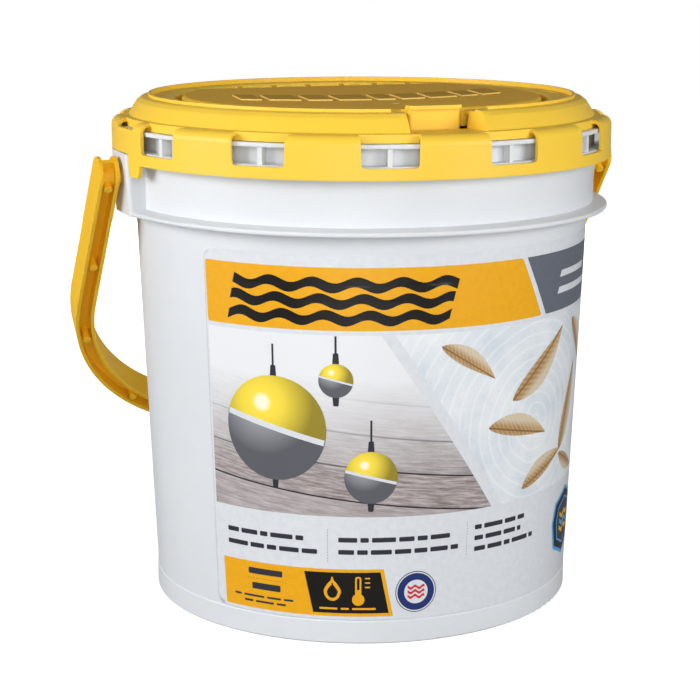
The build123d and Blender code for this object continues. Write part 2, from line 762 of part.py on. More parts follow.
with BuildPart() as bail_handle:
    extrude(bow(0, bail_flange), amount=bail_half_width, both=True)
    extrude(bow(bail_depth - bail_flange, bail_depth), amount=bail_half_width, both=True)
    extrude(bow(bail_flange / 2, bail_depth - bail_flange / 2), amount=bail_web / 2, both=True)

    # Round pegs across the channels on both sides of the web
    peg_bend = bail_bend - bail_depth / 2
    with BuildSketch(bail_plane):
        for side in (1, -1):
            for reach in bail_arm_pegs:
                with Locations((side * arm_middle(reach), reach)):
                    Circle(bail_peg_radius)
            for angle in bail_bend_pegs:
                peg_x = bail_corner_x + peg_bend * cos(radians(angle))
                peg_y = bail_straight + peg_bend * sin(radians(angle))
                with Locations((side * peg_x, peg_y)):
                    Circle(bail_peg_radius)
    extrude(amount=bail_half_width, both=True)

    # Rounded ends beyond the pivot, with a cap, a boss and a pin on its axis
    with BuildSketch(end_plane):
        with Locations((-bail_end_reach, 0)):
            Circle(bail_half_width)
            Rectangle(2 * (bail_straight + bail_bend), bail_width, align=(Align.MIN, Align.CENTER))
    extrude(amount=2 * bail_half_span, both=True, mode=Mode.INTERSECT)
    cap_start = bail_half_span - bail_depth + bail_flange / 2
    boss_start = ear_top_radius + bail_boss_gap
    pin_start = socket_bottom + pivot_end_gap
    for side in (1, -1):
        with BuildSketch(end_plane.offset(side * cap_start)):
            Circle(bail_end_cap_radius)
        extrude(amount=side * (bail_depth - bail_flange))
        with BuildSketch(end_plane.offset(side * boss_start)):
            Circle(bail_boss_radius)
        extrude(amount=side * (cap_start - boss_start))
        with BuildSketch(end_plane.offset(side * pin_start)):
            Circle(pivot_pin_radius)
        extrude(amount=side * (cap_start - pin_start))
bail_handle.part.label = "bail_handle"
export_step(bail_handle.part, "parts/bail_handle.step")

print("bail lean from straight down", round(bail_lean, 2), "and its swing", round(360 - 2 * bail_lean, 1))
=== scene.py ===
from math import cos, degrees, pi, radians, sin

import bmesh
import bpy
from mathutils import Matrix, Vector
from mathutils.geometry import tessellate_polygon


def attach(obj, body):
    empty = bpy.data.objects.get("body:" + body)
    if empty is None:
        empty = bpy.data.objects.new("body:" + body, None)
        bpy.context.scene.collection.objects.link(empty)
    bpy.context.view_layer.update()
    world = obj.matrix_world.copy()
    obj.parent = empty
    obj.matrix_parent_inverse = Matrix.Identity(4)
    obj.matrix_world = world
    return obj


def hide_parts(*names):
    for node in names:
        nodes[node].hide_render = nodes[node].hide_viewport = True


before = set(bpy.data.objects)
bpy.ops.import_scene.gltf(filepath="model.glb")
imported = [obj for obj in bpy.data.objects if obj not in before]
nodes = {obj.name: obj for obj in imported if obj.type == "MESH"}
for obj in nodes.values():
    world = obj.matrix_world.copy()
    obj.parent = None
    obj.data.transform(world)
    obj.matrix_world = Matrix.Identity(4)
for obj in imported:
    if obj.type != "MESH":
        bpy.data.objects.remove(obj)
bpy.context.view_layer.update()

scene = bpy.context.scene
MM = 0.001

# Camera at the photograph's place: it stands 20 degrees to the left of the latch and looks down a little
VIEW_TURN = radians(-20.0)
VIEW_DISTANCE = 0.96693
VIEW_HEIGHT = 0.32397
VIEW_DOWN = 0.21083
VIEW_ROLL = 0.002
LENS = 99.51
SHIFT = (-0.01582, 0.00621)

camera_data = bpy.data.cameras.new("camera")
camera_data.sensor_width = 36.0
camera_data.lens = LENS
camera_data.shift_x, camera_data.shift_y = SHIFT
camera_data.clip_start = 0.01
camera_data.clip_end = 60.0
camera = bpy.data.objects.new("camera", camera_data)
scene.collection.objects.link(camera)
look_right = Vector((cos(VIEW_TURN), sin(VIEW_TURN), 0.0))
look_level = Vector((-sin(VIEW_TURN), cos(VIEW_TURN), 0.0))
look_up = look_level * sin(VIEW_DOWN) + Vector((0.0, 0.0, cos(VIEW_DOWN)))
look_back = -(look_level * cos(VIEW_DOWN) - Vector((0.0, 0.0, sin(VIEW_DOWN))))
turn = Matrix((look_right, look_up, look_back)).transposed() @ Matrix.Rotation(VIEW_ROLL, 3, "Z")
stand = -look_level * VIEW_DISTANCE + Vector((0, 0, VIEW_HEIGHT))
camera.matrix_world = Matrix.Translation(stand) @ turn.to_4x4()
scene.camera = camera

# Print and plastic colours, linear
YELLOW = (0.96, 0.61, 0.055)
# The hatch colour below is painted shade, laid on the upward faces of its plate
HATCH_TOP_PAINTED_SHADE = (0.86, 0.46, 0.016)
HANDLE_YELLOW = (0.97, 0.55, 0.012)
WHITE_PLASTIC = (0.72, 0.745, 0.775)
FOAM = (0.74, 0.73, 0.71)
FILM_WHITE = (0.70, 0.725, 0.76)
ORANGE = (0.83, 0.395, 0.010)
GREY = (0.125, 0.14, 0.175)
BLACK = (0.008, 0.007, 0.006)
INK = (0.03, 0.032, 0.045)
NAVY = (0.018, 0.035, 0.16)
SIGNAL_RED = (0.62, 0.03, 0.03)
SKY_BLUE = (0.07, 0.36, 0.72)


# Shader helpers
def shader(name):
    material = bpy.data.materials.new(name)
    material.use_nodes = True
    material.node_tree.nodes.clear()
    return material


def add(material, kind, inputs=None, **settings):
    """A new node: its settings by name, and its inputs by name or number, as values or as sockets to link."""
    tree = material.node_tree
    new = tree.nodes.new(kind)
    for key, value in settings.items():
        setattr(new, key, value)
    for key, value in (inputs or {}).items():
        if isinstance(value, bpy.types.NodeSocket):
            tree.links.new(value, new.inputs[key])
        else:
            new.inputs[key].default_value = value
    return new


def finish_material(material, inputs):
    surface = add(material, "ShaderNodeBsdfPrincipled", inputs)
    add(material, "ShaderNodeOutputMaterial", {"Surface": surface.outputs["BSDF"]})
    return material


def noise(material, where, scale, detail=3.0, roughness=0.55):
    made = add(material, "ShaderNodeTexNoise",
               {"Vector": where, "Scale": scale, "Detail": detail, "Roughness": roughness})
    return made.outputs["Fac"]


def ramp(material, factor, stops, interpolation="LINEAR"):
    made = add(material, "ShaderNodeValToRGB", {"Fac": factor})
    made.color_ramp.interpolation = interpolation
    elements = made.color_ramp.elements
    while len(elements) < len(stops):
        elements.new(0.5)
    for element, (place, colour) in zip(elements, stops):
        element.position = place
        element.color = (*colour, 1.0) if len(colour) == 3 else colour
    return made.outputs["Color"]


def math(material, operation, *values):
    made = add(material, "ShaderNodeMath", dict(enumerate(values)), operation=operation)
    return made.outputs["Value"]


def mix(material, factor, first, second, blend="MIX"):
    made = add(material, "ShaderNodeMix", data_type="RGBA", blend_type=blend)
    tree = material.node_tree
    for place, value in ((0, factor), (6, first), (7, second)):
        if isinstance(value, bpy.types.NodeSocket):
            tree.links.new(value, made.inputs[place])
        else:
            made.inputs[place].default_value = value if place == 0 else (*value[:3], 1.0)
    return made.outputs[2]


def shade(colour, share):
    return tuple(min(1.0, channel * share) for channel in colour)


def remap(material, factor, low, high):
    made = add(material, "ShaderNodeMapRange", {"Value": factor, "To Min": low, "To Max": high})
    return made.outputs["Result"]


def within(material, factor, low, high):
    """0 below the low value, 1 above the high one."""
    made = add(material, "ShaderNodeMapRange", {"Value": factor, "From Min": low, "From Max": high})
    return made.outputs["Result"]


def moulded_plastic(name, colour, rough, grain_scale, grain, mottle=0.02):
    """Injection-moulded plastic: one even colour, slightly uneven in its gloss, with a fine moulded grain."""
    material = shader(name)
    place = add(material, "ShaderNodeTexCoord").outputs["Object"]
    cloud = noise(material, place, 14.0, 3.0)
    base = ramp(material, cloud, [(0.3, shade(colour, 1.0 - mottle)), (0.7, shade(colour, 1.0 + mottle))])
    dull = noise(material, place, 55.0, 4.0, 0.6)
    roughness = remap(material, dull, rough - 0.05, rough + 0.06)
    fine = noise(material, place, grain_scale, 2.0, 0.5)
    wave = noise(material, place, 60.0, 2.0, 0.5)
    height = math(material, "ADD", fine, math(material, "MULTIPLY", wave, 0.3))
    bump = add(material, "ShaderNodeBump", {"Strength": grain, "Distance": 0.0002, "Height": height})
    return finish_material(material, {
        "Base Color": base,
        "Roughness": roughness,
        "Normal": bump.outputs["Normal"],
        "IOR": 1.49,
        "Specular IOR Level": 0.35,
        "Subsurface Weight": 0.2,
        "Subsurface Radius": (1.0, 0.8, 0.5),
        "Subsurface Scale": 4 * MM,
    })


def paint_shade_on_top(material, colour):
    """Paints the faces that look up in a colour of their own: painted shade, darker and more orange, standing
    in for the shade that the hatch's finely textured plate takes under grazing light.
    """
    tree = material.node_tree
    base = next(node for node in tree.nodes if node.type == "BSDF_PRINCIPLED").inputs["Base Color"]
    plain = base.links[0].from_socket
    normal = add(material, "ShaderNodeTexCoord").outputs["Normal"]
    upward = add(material, "ShaderNodeSeparateXYZ", {"Vector": normal}).outputs["Z"]
    tree.links.new(mix(material, within(material, upward, 0.6, 0.95), plain, colour), base)
    return material


def painted_edge_highlight(colour):
    """The paler colour for the moulded edges, which are also given a smoother gloss: a painted highlight
    along them.
    """
    return tuple(channel + (1.0 - channel) * 0.12 for channel in colour)


def bead_foam(name, colour):
    """Moulded bead foam: pressed cells with dark seams between them."""
    material = shader(name)
    place = add(material, "ShaderNodeTexCoord").outputs["Object"]
    spread = {"Vector": place, "Scale": 330.0}
    cells = add(material, "ShaderNodeTexVoronoi", spread, feature="DISTANCE_TO_EDGE")
    seam = ramp(material, cells.outputs["Distance"], [(0.0, (0, 0, 0)), (0.12, (1, 1, 1))])
    tone = add(material, "ShaderNodeTexVoronoi", spread).outputs["Distance"]
    base = mix(material, remap(material, tone, 0.0, 0.25), colour, shade(colour, 0.9))
    base = mix(material, seam, shade(colour, 0.78), base)
    height = math(material, "ADD", seam, math(material, "MULTIPLY", noise(material, place, 900.0), 0.3))
    bump = add(material, "ShaderNodeBump", {"Strength": 0.35, "Distance": 0.0004, "Height": height})
    uneven = bump.outputs["Normal"]
    return finish_material(material, {"Base Color": base, "Roughness": 0.85, "Normal": uneven})


yellow_lid = moulded_plastic("lid_plastic", YELLOW, 0.40, 1400.0, 0.10)
# Each edge material is paler than its body: painted highlight along the rounded edges
yellow_lid_edge = moulded_plastic("lid_edges", painted_edge_highlight(YELLOW), 0.34, 1400.0, 0.05)
# The hatch's upward faces get the darker colour: painted shade
yellow_hatch = paint_shade_on_top(moulded_plastic("hatch_plastic", YELLOW, 0.50, 1900.0, 0.30), HATCH_TOP_PAINTED_SHADE)
yellow_hatch_edge = moulded_plastic("hatch_edges", painted_edge_highlight(YELLOW), 0.38, 1900.0, 0.10)
yellow_handle = moulded_plastic("handle_plastic", HANDLE_YELLOW, 0.38, 1500.0, 0.04)
yellow_handle_edge = moulded_plastic("handle_edges", painted_edge_highlight(HANDLE_YELLOW), 0.32, 1500.0, 0.05)
white_shell = moulded_plastic("shell_plastic", WHITE_PLASTIC, 0.40, 900.0, 0.07)
white_shell_edge = moulded_plastic("shell_edges", painted_edge_highlight(WHITE_PLASTIC), 0.34, 900.0, 0.05)
foam = bead_foam("bead_foam", FOAM)


# The moulded edges are rounded a little on the CAD nodes, by modifiers
def soften(name, radius, material, edge_material, segments=2, angle=28.0):
    piece = nodes[name]
    weld = piece.modifiers.new("weld", "WELD")
    weld.merge_threshold = 1e-6
    flat = piece.modifiers.new("flat", "DECIMATE")
    flat.decimate_type = "DISSOLVE"
    flat.angle_limit = radians(0.4)
    bevel = piece.modifiers.new("edges", "BEVEL")
    bevel.width = radius
    bevel.segments = segments
    bevel.limit_method = "ANGLE"
    bevel.angle_limit = radians(angle)
    bevel.use_clamp_overlap = True
    bevel.miter_outer = "MITER_ARC"
    bevel.material = 1
    normals = piece.modifiers.new("normals", "WEIGHTED_NORMAL")
    normals.keep_sharp = False
    piece.data.materials.clear()
    piece.data.materials.append(material)
    piece.data.materials.append(edge_material)


soften("outer_bucket", 0.35 * MM, white_shell, white_shell_edge)
soften("foam_liner", 0.6 * MM, foam, foam)
soften("lid_ring", 0.5 * MM, yellow_lid, yellow_lid_edge)
soften("hatch", 0.4 * MM, yellow_hatch, yellow_hatch_edge)
soften("bail_handle", 0.7 * MM, yellow_handle, yellow_handle_edge, 3)

# Label: a film wound on the wall, with its print laid on it in thin layers.
# Outlines are in degrees from the latch and millimetres up, and follow the cone of the wall.
WALL_FOOT = 104.5
WALL_RISE = 8.0 / 196.0
FILM_FACE = 0.23
FILM_THICKNESS = 0.2
LAYER = 0.035
PRINT_MIDDLE = 109.0
PRINT_STEP = 2.5
FULL_TURN = 2 * pi


def wall_point(angle, height, lift):
    radius = WALL_FOOT + WALL_RISE * height + lift
    return Vector((radius * sin(radians(angle)), -radius * cos(radians(angle)), height)) * MM


def degrees_across(width):
    """How many degrees a width in millimetres takes on the wall."""
    return degrees(width / PRINT_MIDDLE)


def rectangle(left, right, low, high, slant=0.0):
    return [(left, low), (right, low), (right + slant, high), (left + slant, high)]


def rounded(outline, radius, steps=5):
    """The outline, given in degrees and millimetres, with its corners rounded to a radius in millimetres."""
    flat = [Vector((x * PRINT_MIDDLE * pi / 180, y)) for x, y in outline]
    result = []
    for index, corner in enumerate(flat):
        before = (flat[index - 1] - corner)
        after = (flat[(index + 1) % len(flat)] - corner)
        reach = min(radius, before.length * 0.45, after.length * 0.45)
        start, end = corner + before.normalized() * reach, corner + after.normalized() * reach
        for step in range(steps + 1):
            t = step / steps
            point = start * (1 - t) ** 2 + corner * 2 * t * (1 - t) + end * t ** 2
            result.append((degrees(point.x / PRINT_MIDDLE), point.y))
    return result


def disc(angle, height, radius, count=40):
    steps = [FULL_TURN * i / count for i in range(count)]
    return [(angle + degrees_across(radius * cos(step)), height + radius * sin(step)) for step in steps]


def placed(points, angle, height, turn=0.0):
    """Points in millimetres, turned and moved to a place on the wall."""
    c, s = cos(radians(turn)), sin(radians(turn))
    return [(angle + degrees_across(x * c - y * s), height + x * s + y * c) for x, y in points]


def wave_bar(left, right, height, thickness, swing, length, phase=0.0, slant=0.0):
    """A wavy bar: left and right in degrees, the rest in millimetres."""
    count = 60
    places = [left + (right - left) * i / count for i in range(count + 1)]
    line = [height + swing * sin(FULL_TURN * (a / degrees_across(length)) + phase) for a in places]
    low = list(zip(places, [y - thickness / 2 for y in line]))
    high = [(a + slant, y + thickness / 2) for a, y in zip(places, line)]
    return low + high[::-1]


def ride_bucket(piece):
    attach(piece, "bucket")


def printed(name, outlines, layer, material, local=(0.0, 0.0, 0.0, 100.0)):
    """One printed colour: flat outlines cut fine and wound onto the film.

    local is the place, turn and unit of its UVs.
    """
    mesh = bpy.data.meshes.new(name)
    bm = bmesh.new()
    for outline in outlines:
        points = [Vector((a, h, 0.0)) for a, h in outline]
        corners = [bm.verts.new(point) for point in points]
        for triangle in tessellate_polygon([points]):
            bm.faces.new([corners[index] for index in triangle])
    first = min(v.co.x for v in bm.verts)
    last = max(v.co.x for v in bm.verts)
    cut = first - first % PRINT_STEP + PRINT_STEP
    while cut < last:
        bmesh.ops.bisect_plane(bm, geom=bm.verts[:] + bm.edges[:] + bm.faces[:], dist=1e-6,
                               plane_co=(cut, 0, 0), plane_no=(1, 0, 0))
        cut += PRINT_STEP
    angle0, height0, turned, unit = local
    c, s = cos(radians(turned)), sin(radians(turned))
    uv = bm.loops.layers.uv.new("print")
    for face in bm.faces:
        face.smooth = True
        for loop in face.loops:
            across = (loop.vert.co.x - angle0) * PRINT_MIDDLE * pi / 180
            up = loop.vert.co.y - height0
            loop[uv].uv = ((across * c + up * s) / unit, (up * c - across * s) / unit)
    for vert in bm.verts:
        vert.co = wall_point(vert.co.x, vert.co.y, FILM_FACE + layer * LAYER)
    bm.normal_update()
    for face in bm.faces:
        if face.normal.dot(Vector((*face.calc_center_median().xy, 0.0))) < 0:
            face.normal_flip()
    bm.to_mesh(mesh)
    bm.free()
    mesh.materials.append(material)
    piece = bpy.data.objects.new(name, mesh)
    scene.collection.objects.link(piece)
    ride_bucket(piece)
    return piece


def print_ink(name, colour, rough=0.34):
    """Ink on film: a flat colour with a slight mottle, under a thin clear layer."""
    material = shader(name)
    place = add(material, "ShaderNodeTexCoord").outputs["UV"]
    cloud = noise(material, place, 30.0, 4.0)
    base = ramp(material, cloud, [(0.3, shade(colour, 0.96)), (0.7, shade(colour, 1.04))])
    gloss = remap(material, noise(material, place, 6.0, 3.0), rough - 0.05, rough + 0.06)
    bump = add(material, "ShaderNodeBump",
               {"Strength": 0.05, "Distance": 0.0001, "Height": noise(material, place, 90.0, 2.0)})
    return finish_material(material, {
        "Base Color": base,
        "Roughness": gloss,
        "Normal": bump.outputs["Normal"],
        "Specular IOR Level": 0.35,
        "Coat Weight": 0.05,
        "Coat Roughness": 0.2,
    })


orange_ink = print_ink("orange_ink", ORANGE)
black_ink = print_ink("black_ink", BLACK)
grey_ink = print_ink("grey_ink", GREY)
white_ink = print_ink("white_ink", FILM_WHITE)
text_ink = print_ink("dark_ink", INK)
navy_ink = print_ink("navy_ink", NAVY)
red_ink = print_ink("red_ink", SIGNAL_RED)
blue_ink = print_ink("blue_ink", SKY_BLUE)

# The film itself
FILM_LEFT, FILM_RIGHT, FILM_LOW, FILM_HIGH = -60.5, 66.0, 12.0, 186.0
sheet = rounded(rectangle(FILM_LEFT, FILM_RIGHT, FILM_LOW, FILM_HIGH), 6.0)
film = printed("label_sheet", [sheet], 0, white_ink)
film_body = film.modifiers.new("film", "SOLIDIFY")
film_body.thickness = FILM_THICKNESS * MM
film_body.offset = -1.0
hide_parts("label")

# Heading band with its slanted end, and the grey panel beside it
BAND_LOW, BAND_HIGH = 151.4, 180.5
heading = [(-59.8, BAND_LOW), (30.0, BAND_LOW), (21.9, BAND_HIGH), (-60.0, BAND_HIGH)]
panel = [(31.9, BAND_LOW), (63.5, BAND_LOW), (63.5, BAND_HIGH), (23.4, BAND_HIGH)]
printed("heading_band", [rounded(heading, 1.6)], 1, orange_ink)
printed("grey_panel", [rounded(panel, 1.0)], 1, grey_ink)
waves = [wave_bar(-53.6 + 0.9 * row, 1.2 + 0.9 * row, 157.3 + 7.6 * row, 4.6, 1.5, 20.0, 0.9 * row, 0.6)
         for row in range(3)]
printed("heading_waves", waves, 2, black_ink)
printed("panel_bars", [rounded(rectangle(37.0 + slide, right, low, low + 3.2, 0.9), 0.5)
                       for slide, right, low in ((0.8, 55.6, 167.6), (0.0, 58.0, 159.6))], 2, white_ink)

# First picture: grey boards that fade into haze, with round floats on a line
PICTURE_LOW, PICTURE_HIGH = 62.6, 149.3


def picture_surface(material, colour):
    return finish_material(material, {"Base Color": colour, "Roughness": 0.38, "Specular IOR Level": 0.35})


def boards_material():
    material = shader("board_print")
    place = add(material, "ShaderNodeTexCoord").outputs["UV"]
    tilted = add(material, "ShaderNodeMapping", {"Vector": place, "Rotation": (0.0, 0.0, radians(7.0))})
    split = add(material, "ShaderNodeSeparateXYZ", {"Vector": tilted.outputs["Vector"]})
    row_place = math(material, "MULTIPLY", split.outputs["Y"], 6.2)
    row = math(material, "FLOOR", row_place, 0.0)
    part = math(material, "FRACT", row_place, 0.0)
    tone = add(material, "ShaderNodeTexWhiteNoise", {"W": row}, noise_dimensions="1D").outputs["Value"]
    shifted = add(material, "ShaderNodeCombineXYZ", {"X": split.outputs["X"], "Y": row_place, "Z": row})
    long_grain = add(material, "ShaderNodeMapping",
                     {"Vector": shifted.outputs["Vector"], "Scale": (5.0, 9.0, 3.0)})
    grain = noise(material, long_grain.outputs["Vector"], 1.6, 8.0, 0.72)
    board = ramp(material, grain, [(0.30, (0.13, 0.105, 0.105)), (0.48, (0.34, 0.29, 0.285)),
                                   (0.68, (0.60, 0.56, 0.56))])
    board = mix(material, remap(material, tone, 0.0, 0.45), board, (0.50, 0.46, 0.47))
    gap = ramp(material, part, [(0.0, (1, 1, 1)), (0.035, (1, 1, 1)), (0.06, (0, 0, 0))])
    board = mix(material, gap, board, (0.025, 0.02, 0.025))
    level = add(material, "ShaderNodeSeparateXYZ", {"Vector": place}).outputs["Y"]
    uneven = math(material, "ADD", level, remap(material, noise(material, place, 3.0), -0.12, 0.12))
    picture = mix(material, within(material, uneven, 0.84, 1.30), board, (0.80, 0.81, 0.83))
    return picture_surface(material, picture)


def float_material():
    material = shader("float_print")
    place = add(material, "ShaderNodeTexCoord").outputs["UV"]
    side = add(material, "ShaderNodeSeparateXYZ", {"Vector": place})
    upper = within(material, side.outputs["Y"], 0.02, 0.05)
    colour = mix(material, upper, (0.30, 0.31, 0.33), (0.86, 0.66, 0.06))
    lit = add(material, "ShaderNodeVectorMath", {0: place, 1: (-0.35, 0.4, 0.0)}, operation="DISTANCE")
    lit = lit.outputs["Value"]
    tone = ramp(material, lit,
                [(0.0, (1.25, 1.25, 1.25)), (0.45, (1.0, 1.0, 1.0)), (1.3, (0.35, 0.35, 0.38))])
    colour = mix(material, 1.0, colour, tone, "MULTIPLY")
    shine = ramp(material, lit, [(0.0, (1, 1, 1)), (0.10, (1, 1, 1)), (0.20, (0, 0, 0))])
    colour = mix(material, math(material, "MULTIPLY", shine, 0.75), colour, (0.95, 0.95, 0.92))
    return picture_surface(material, colour)


def water_material():
    material = shader("water_print")
    place = add(material, "ShaderNodeTexCoord").outputs["UV"]
    cloud = noise(material, place, 3.5, 5.0, 0.6)
    base = ramp(material, cloud, [(0.30, (0.60, 0.67, 0.73)), (0.50, (0.74, 0.78, 0.82)),
                                  (0.72, (0.84, 0.86, 0.88))])
    fleck = noise(material, place, 55.0, 2.0, 0.6)
    fleck = ramp(material, fleck, [(0.62, (0, 0, 0)), (0.70, (1, 1, 1))])
    base = mix(material, math(material, "MULTIPLY", fleck, 0.35), base, (0.48, 0.54, 0.60))
    spread = {"Vector": place, "Scale": 5.5, "Distortion": 1.4, "Detail": 2.0}
    rings = add(material, "ShaderNodeTexWave", spread,
                wave_type="RINGS", rings_direction="SPHERICAL").outputs["Fac"]
    ring = ramp(material, rings, [(0.80, (0, 0, 0)), (0.97, (1, 1, 1))])
    base = mix(material, math(material, "MULTIPLY", ring, 0.30), base, (0.93, 0.95, 0.97))
    return picture_surface(material, base)


def leaf_material():
    material = shader("leaf_print")
    place = add(material, "ShaderNodeTexCoord").outputs["UV"]
    along = add(material, "ShaderNodeSeparateXYZ", {"Vector": place})
    across = math(material, "ABSOLUTE", along.outputs["Y"], 0.0)
    spread = {"Vector": place, "Scale": 9.0, "Distortion": 3.0, "Detail": 3.0}
    veins = add(material, "ShaderNodeTexWave", spread, bands_direction="DIAGONAL").outputs["Fac"]
    base = ramp(material, along.outputs["X"], [(0.0, (0.40, 0.22, 0.07)), (0.5, (0.55, 0.36, 0.14)),
                                               (1.0, (0.62, 0.50, 0.30))])
    base = mix(material, remap(material, veins, 0.0, 0.25), base, (0.80, 0.72, 0.56))
    edge = math(material, "MULTIPLY", within(material, across, 0.04, 0.12), 0.7)
    base = mix(material, edge, base, (0.74, 0.66, 0.52))
    rib = ramp(material, across, [(0.0, (1, 1, 1)), (0.006, (1, 1, 1)), (0.014, (0, 0, 0))])
    base = mix(material, rib, base, (0.24, 0.13, 0.05))
    return picture_surface(material, base)


boards_print = boards_material()
float_print = float_material()
water_print = water_material()
leaf_print = leaf_material()

boards = [(-59.6, PICTURE_LOW + 0.6), (15.1, PICTURE_LOW), (-15.2, PICTURE_HIGH), (-59.8, PICTURE_HIGH)]
printed("boards_picture", [boards], 1, boards_print)
floats = [(-41.5, 104.0, 25.0), (-17.5, 82.0, 12.5), (-26.0, 128.0, 8.0)]
FLOAT_TILT = -14.0
lines = []
for angle, height, radius in floats:
    line_top = min(PICTURE_HIGH - 0.3, height + radius + 15.0)
    upper_stem = [(-1.6, radius - 0.5), (1.6, radius - 0.5), (1.2, radius + 5.0), (-1.2, radius + 5.0)]
    lower_stem = [(-1.2, -radius - 4.0), (1.2, -radius - 4.0), (1.6, -radius + 0.5), (-1.6, -radius + 0.5)]
    lines.append(rectangle(angle - 0.25, angle + 0.25, height + radius, line_top))
    lines.append(rounded(placed(upper_stem, angle, height), 0.6))
    lines.append(rounded(placed(lower_stem, angle, height), 0.6))
printed("float_stems", lines, 2, text_ink)
for number, (angle, height, radius) in enumerate(floats, 1):
    ball = disc(angle, height, radius, 64)
    printed(f"float_{number}", [ball], 3, float_print, (angle, height, FLOAT_TILT, radius))
belt = [(-0.985, -0.05), (0.985, -0.05), (0.985, 0.06), (-0.985, 0.06)]
belts = [placed([(radius * x, radius * y) for x, y in belt], angle, height, FLOAT_TILT)
         for angle, height, radius in floats]
printed("float_belts", belts, 4, white_ink)

# Second picture: pale water with drifting leaves
water = [(18.6, PICTURE_LOW), (63.0, PICTURE_LOW), (63.0, PICTURE_HIGH), (-11.9, PICTURE_HIGH)]
printed("water_picture", [water], 1, water_print, (30.0, 100.0, 0.0, 100.0))


def leaf(length, width, bend):
    """A long leaf's outline in millimetres, bent sideways."""
    count = 26
    upper, lower = [], []
    for i in range(count + 1):
        t = i / count
        half = width / 2 * (sin(pi * t ** 0.8) ** 0.9 if 0 < t < 1 else 0.0)
        middle = bend * (4 * t * (1 - t))
        upper.append((length * (t - 0.5), middle + half))
        lower.append((length * (t - 0.5), middle - half))
    return lower + upper[::-1][1:-1]


# Each leaf: its angle and height on the wall, its turn, and its length, width and bend
leaves = [(7.0, 134.0, -32.0, 34.0, 9.0, 2.0), (31.0, 128.0, 38.0, 50.0, 13.0, -3.0),
          (24.0, 97.0, -12.0, 42.0, 11.0, 3.0), (48.0, 101.0, 68.0, 46.0, 12.0, -2.0),
          (35.0, 74.0, 20.0, 38.0, 10.0, 2.5), (54.0, 132.0, -48.0, 34.0, 10.0, 2.0),
          (51.0, 72.0, -24.0, 30.0, 8.0, -1.5)]
for number, (angle, height, turned, length, width, bend) in enumerate(leaves, 1):
    printed(f"leaf_{number}", [placed(leaf(length, width, bend), angle, height, turned)], 2, leaf_print,
            (angle, height, turned, length))

# Rows of plain bars where small print would be
WORDS = (6.5, 9.0, 4.0, 11.5, 7.5, 5.0, 10.0, 8.0)


def word_bars(left, right, height, cap, first=0):
    """A row of plain bars of uneven length, from left to right in degrees."""
    bars = []
    place, index = left, first
    while place < right - 1.0:
        end = min(right, place + degrees_across(WORDS[index % len(WORDS)]))
        bars.append(rounded(rectangle(place, end, height - cap / 2, height + cap / 2), 0.5, 3))
        place = end + degrees_across(1.5)
        index += 1
    return bars


rows = []
for left, right, height, first in ((-56.0, -34.5, 51.6, 0), (-56.0, -31.0, 45.4, 3), (-25.6, 3.6, 51.6, 1),
                                   (-25.6, 5.6, 45.6, 4), (10.2, 28.4, 53.6, 2), (10.2, 26.0, 48.2, 5),
                                   (10.2, 31.2, 42.8, 0)):
    rows += word_bars(left, right, height, 2.3, first)
for angle in (-28.3, 7.9):
    rows += [disc(angle, 41.0 + 1.4 * i, 0.22, 8) for i in range(12)]
printed("plain_rows", rows, 1, text_ink)

# Capacity block: plain bars, and a dark panel with a drop and a thermometer
printed("capacity_block", [[(-57.4, 13.6), (-11.7, 13.8), (-14.2, 37.2), (-57.8, 36.9)]], 1, orange_ink)
bars = [rounded(rectangle(-50.0, -40.3, 30.9, 33.9), 0.6), rounded(rectangle(-49.0, -40.9, 23.4, 26.6), 0.6)]
bars += [disc(-50.0 + 0.75 * i, 28.7, 0.2, 8) for i in range(14)]
bars += word_bars(-54.5, -36.2, 19.8, 1.0, 2) + word_bars(-51.5, -39.5, 17.2, 1.0, 5)
printed("capacity_bars", bars, 2, text_ink)
printed("dark_panel", [[(-32.2, 15.3), (-12.8, 15.4), (-15.0, 35.7), (-34.4, 35.4)]], 2, black_ink)
drop = [(4.2 * sin(FULL_TURN * i / 40) * (1 - 0.45 * max(0.0, cos(FULL_TURN * i / 40))),
         5.2 * cos(FULL_TURN * i / 40) + (1.6 if cos(FULL_TURN * i / 40) > 0.98 else 0.0)) for i in range(40)]
tube = rounded(placed([(-1.5, -3.0), (1.5, -3.0), (1.5, 7.0), (-1.5, 7.0)], -20.6, 26.6), 1.4)
ticks = [rectangle(-18.9, -17.6, height, height + 0.7) for height in (28.0, 30.2, 32.4)]
printed("panel_sign", [placed(drop, -27.2, 26.6), tube, disc(-20.6, 22.2, 3.0, 28)] + ticks, 3, orange_ink)
drop_core = [(x * 0.62, y * 0.62 - 0.5) for x, y in drop]
tube_core = [(-0.6, 0.5), (0.6, 0.5), (0.6, 6.2), (-0.6, 6.2)]
printed("panel_sign_core", [placed(drop_core, -27.2, 26.6), placed(tube_core, -20.6, 26.6)], 4, black_ink)
printed("panel_caption", word_bars(-30.6, -14.6, 17.6, 1.0, 1), 3, orange_ink)

# Round mark and six-sided mark, both plain
ROUND_MARK = (-5.8, 25.3)
round_layers = [("rim", 10.2, 56, text_ink), ("white", 9.8, 56, white_ink), ("ring", 9.2, 56, navy_ink),
                ("middle", 5.9, 40, white_ink)]
for layer, (part, radius, count, ink) in enumerate(round_layers, 1):
    printed(f"round_mark_{part}", [disc(*ROUND_MARK, radius, count)], layer, ink)
mark_left, mark_right = ROUND_MARK[0] - degrees_across(4.2), ROUND_MARK[0] + degrees_across(4.2)
printed("round_mark_waves", [wave_bar(mark_left, mark_right, ROUND_MARK[1] + rise, 1.3, 0.6, 4.2)
                             for rise in (-2.3, 0.0, 2.3)], 5, red_ink)
SIX_SIDED = (53.0, 39.5)


def six_sided(scale):
    right_side = [(0, -18.0), (16.5, -11.5), (20.0, 2.0), (16.5, 12.0), (0, 18.0)]
    left_side = [(-x, y) for x, y in right_side[-2:0:-1]]
    return placed([(scale * x, scale * y) for x, y in right_side + left_side], *SIX_SIDED)


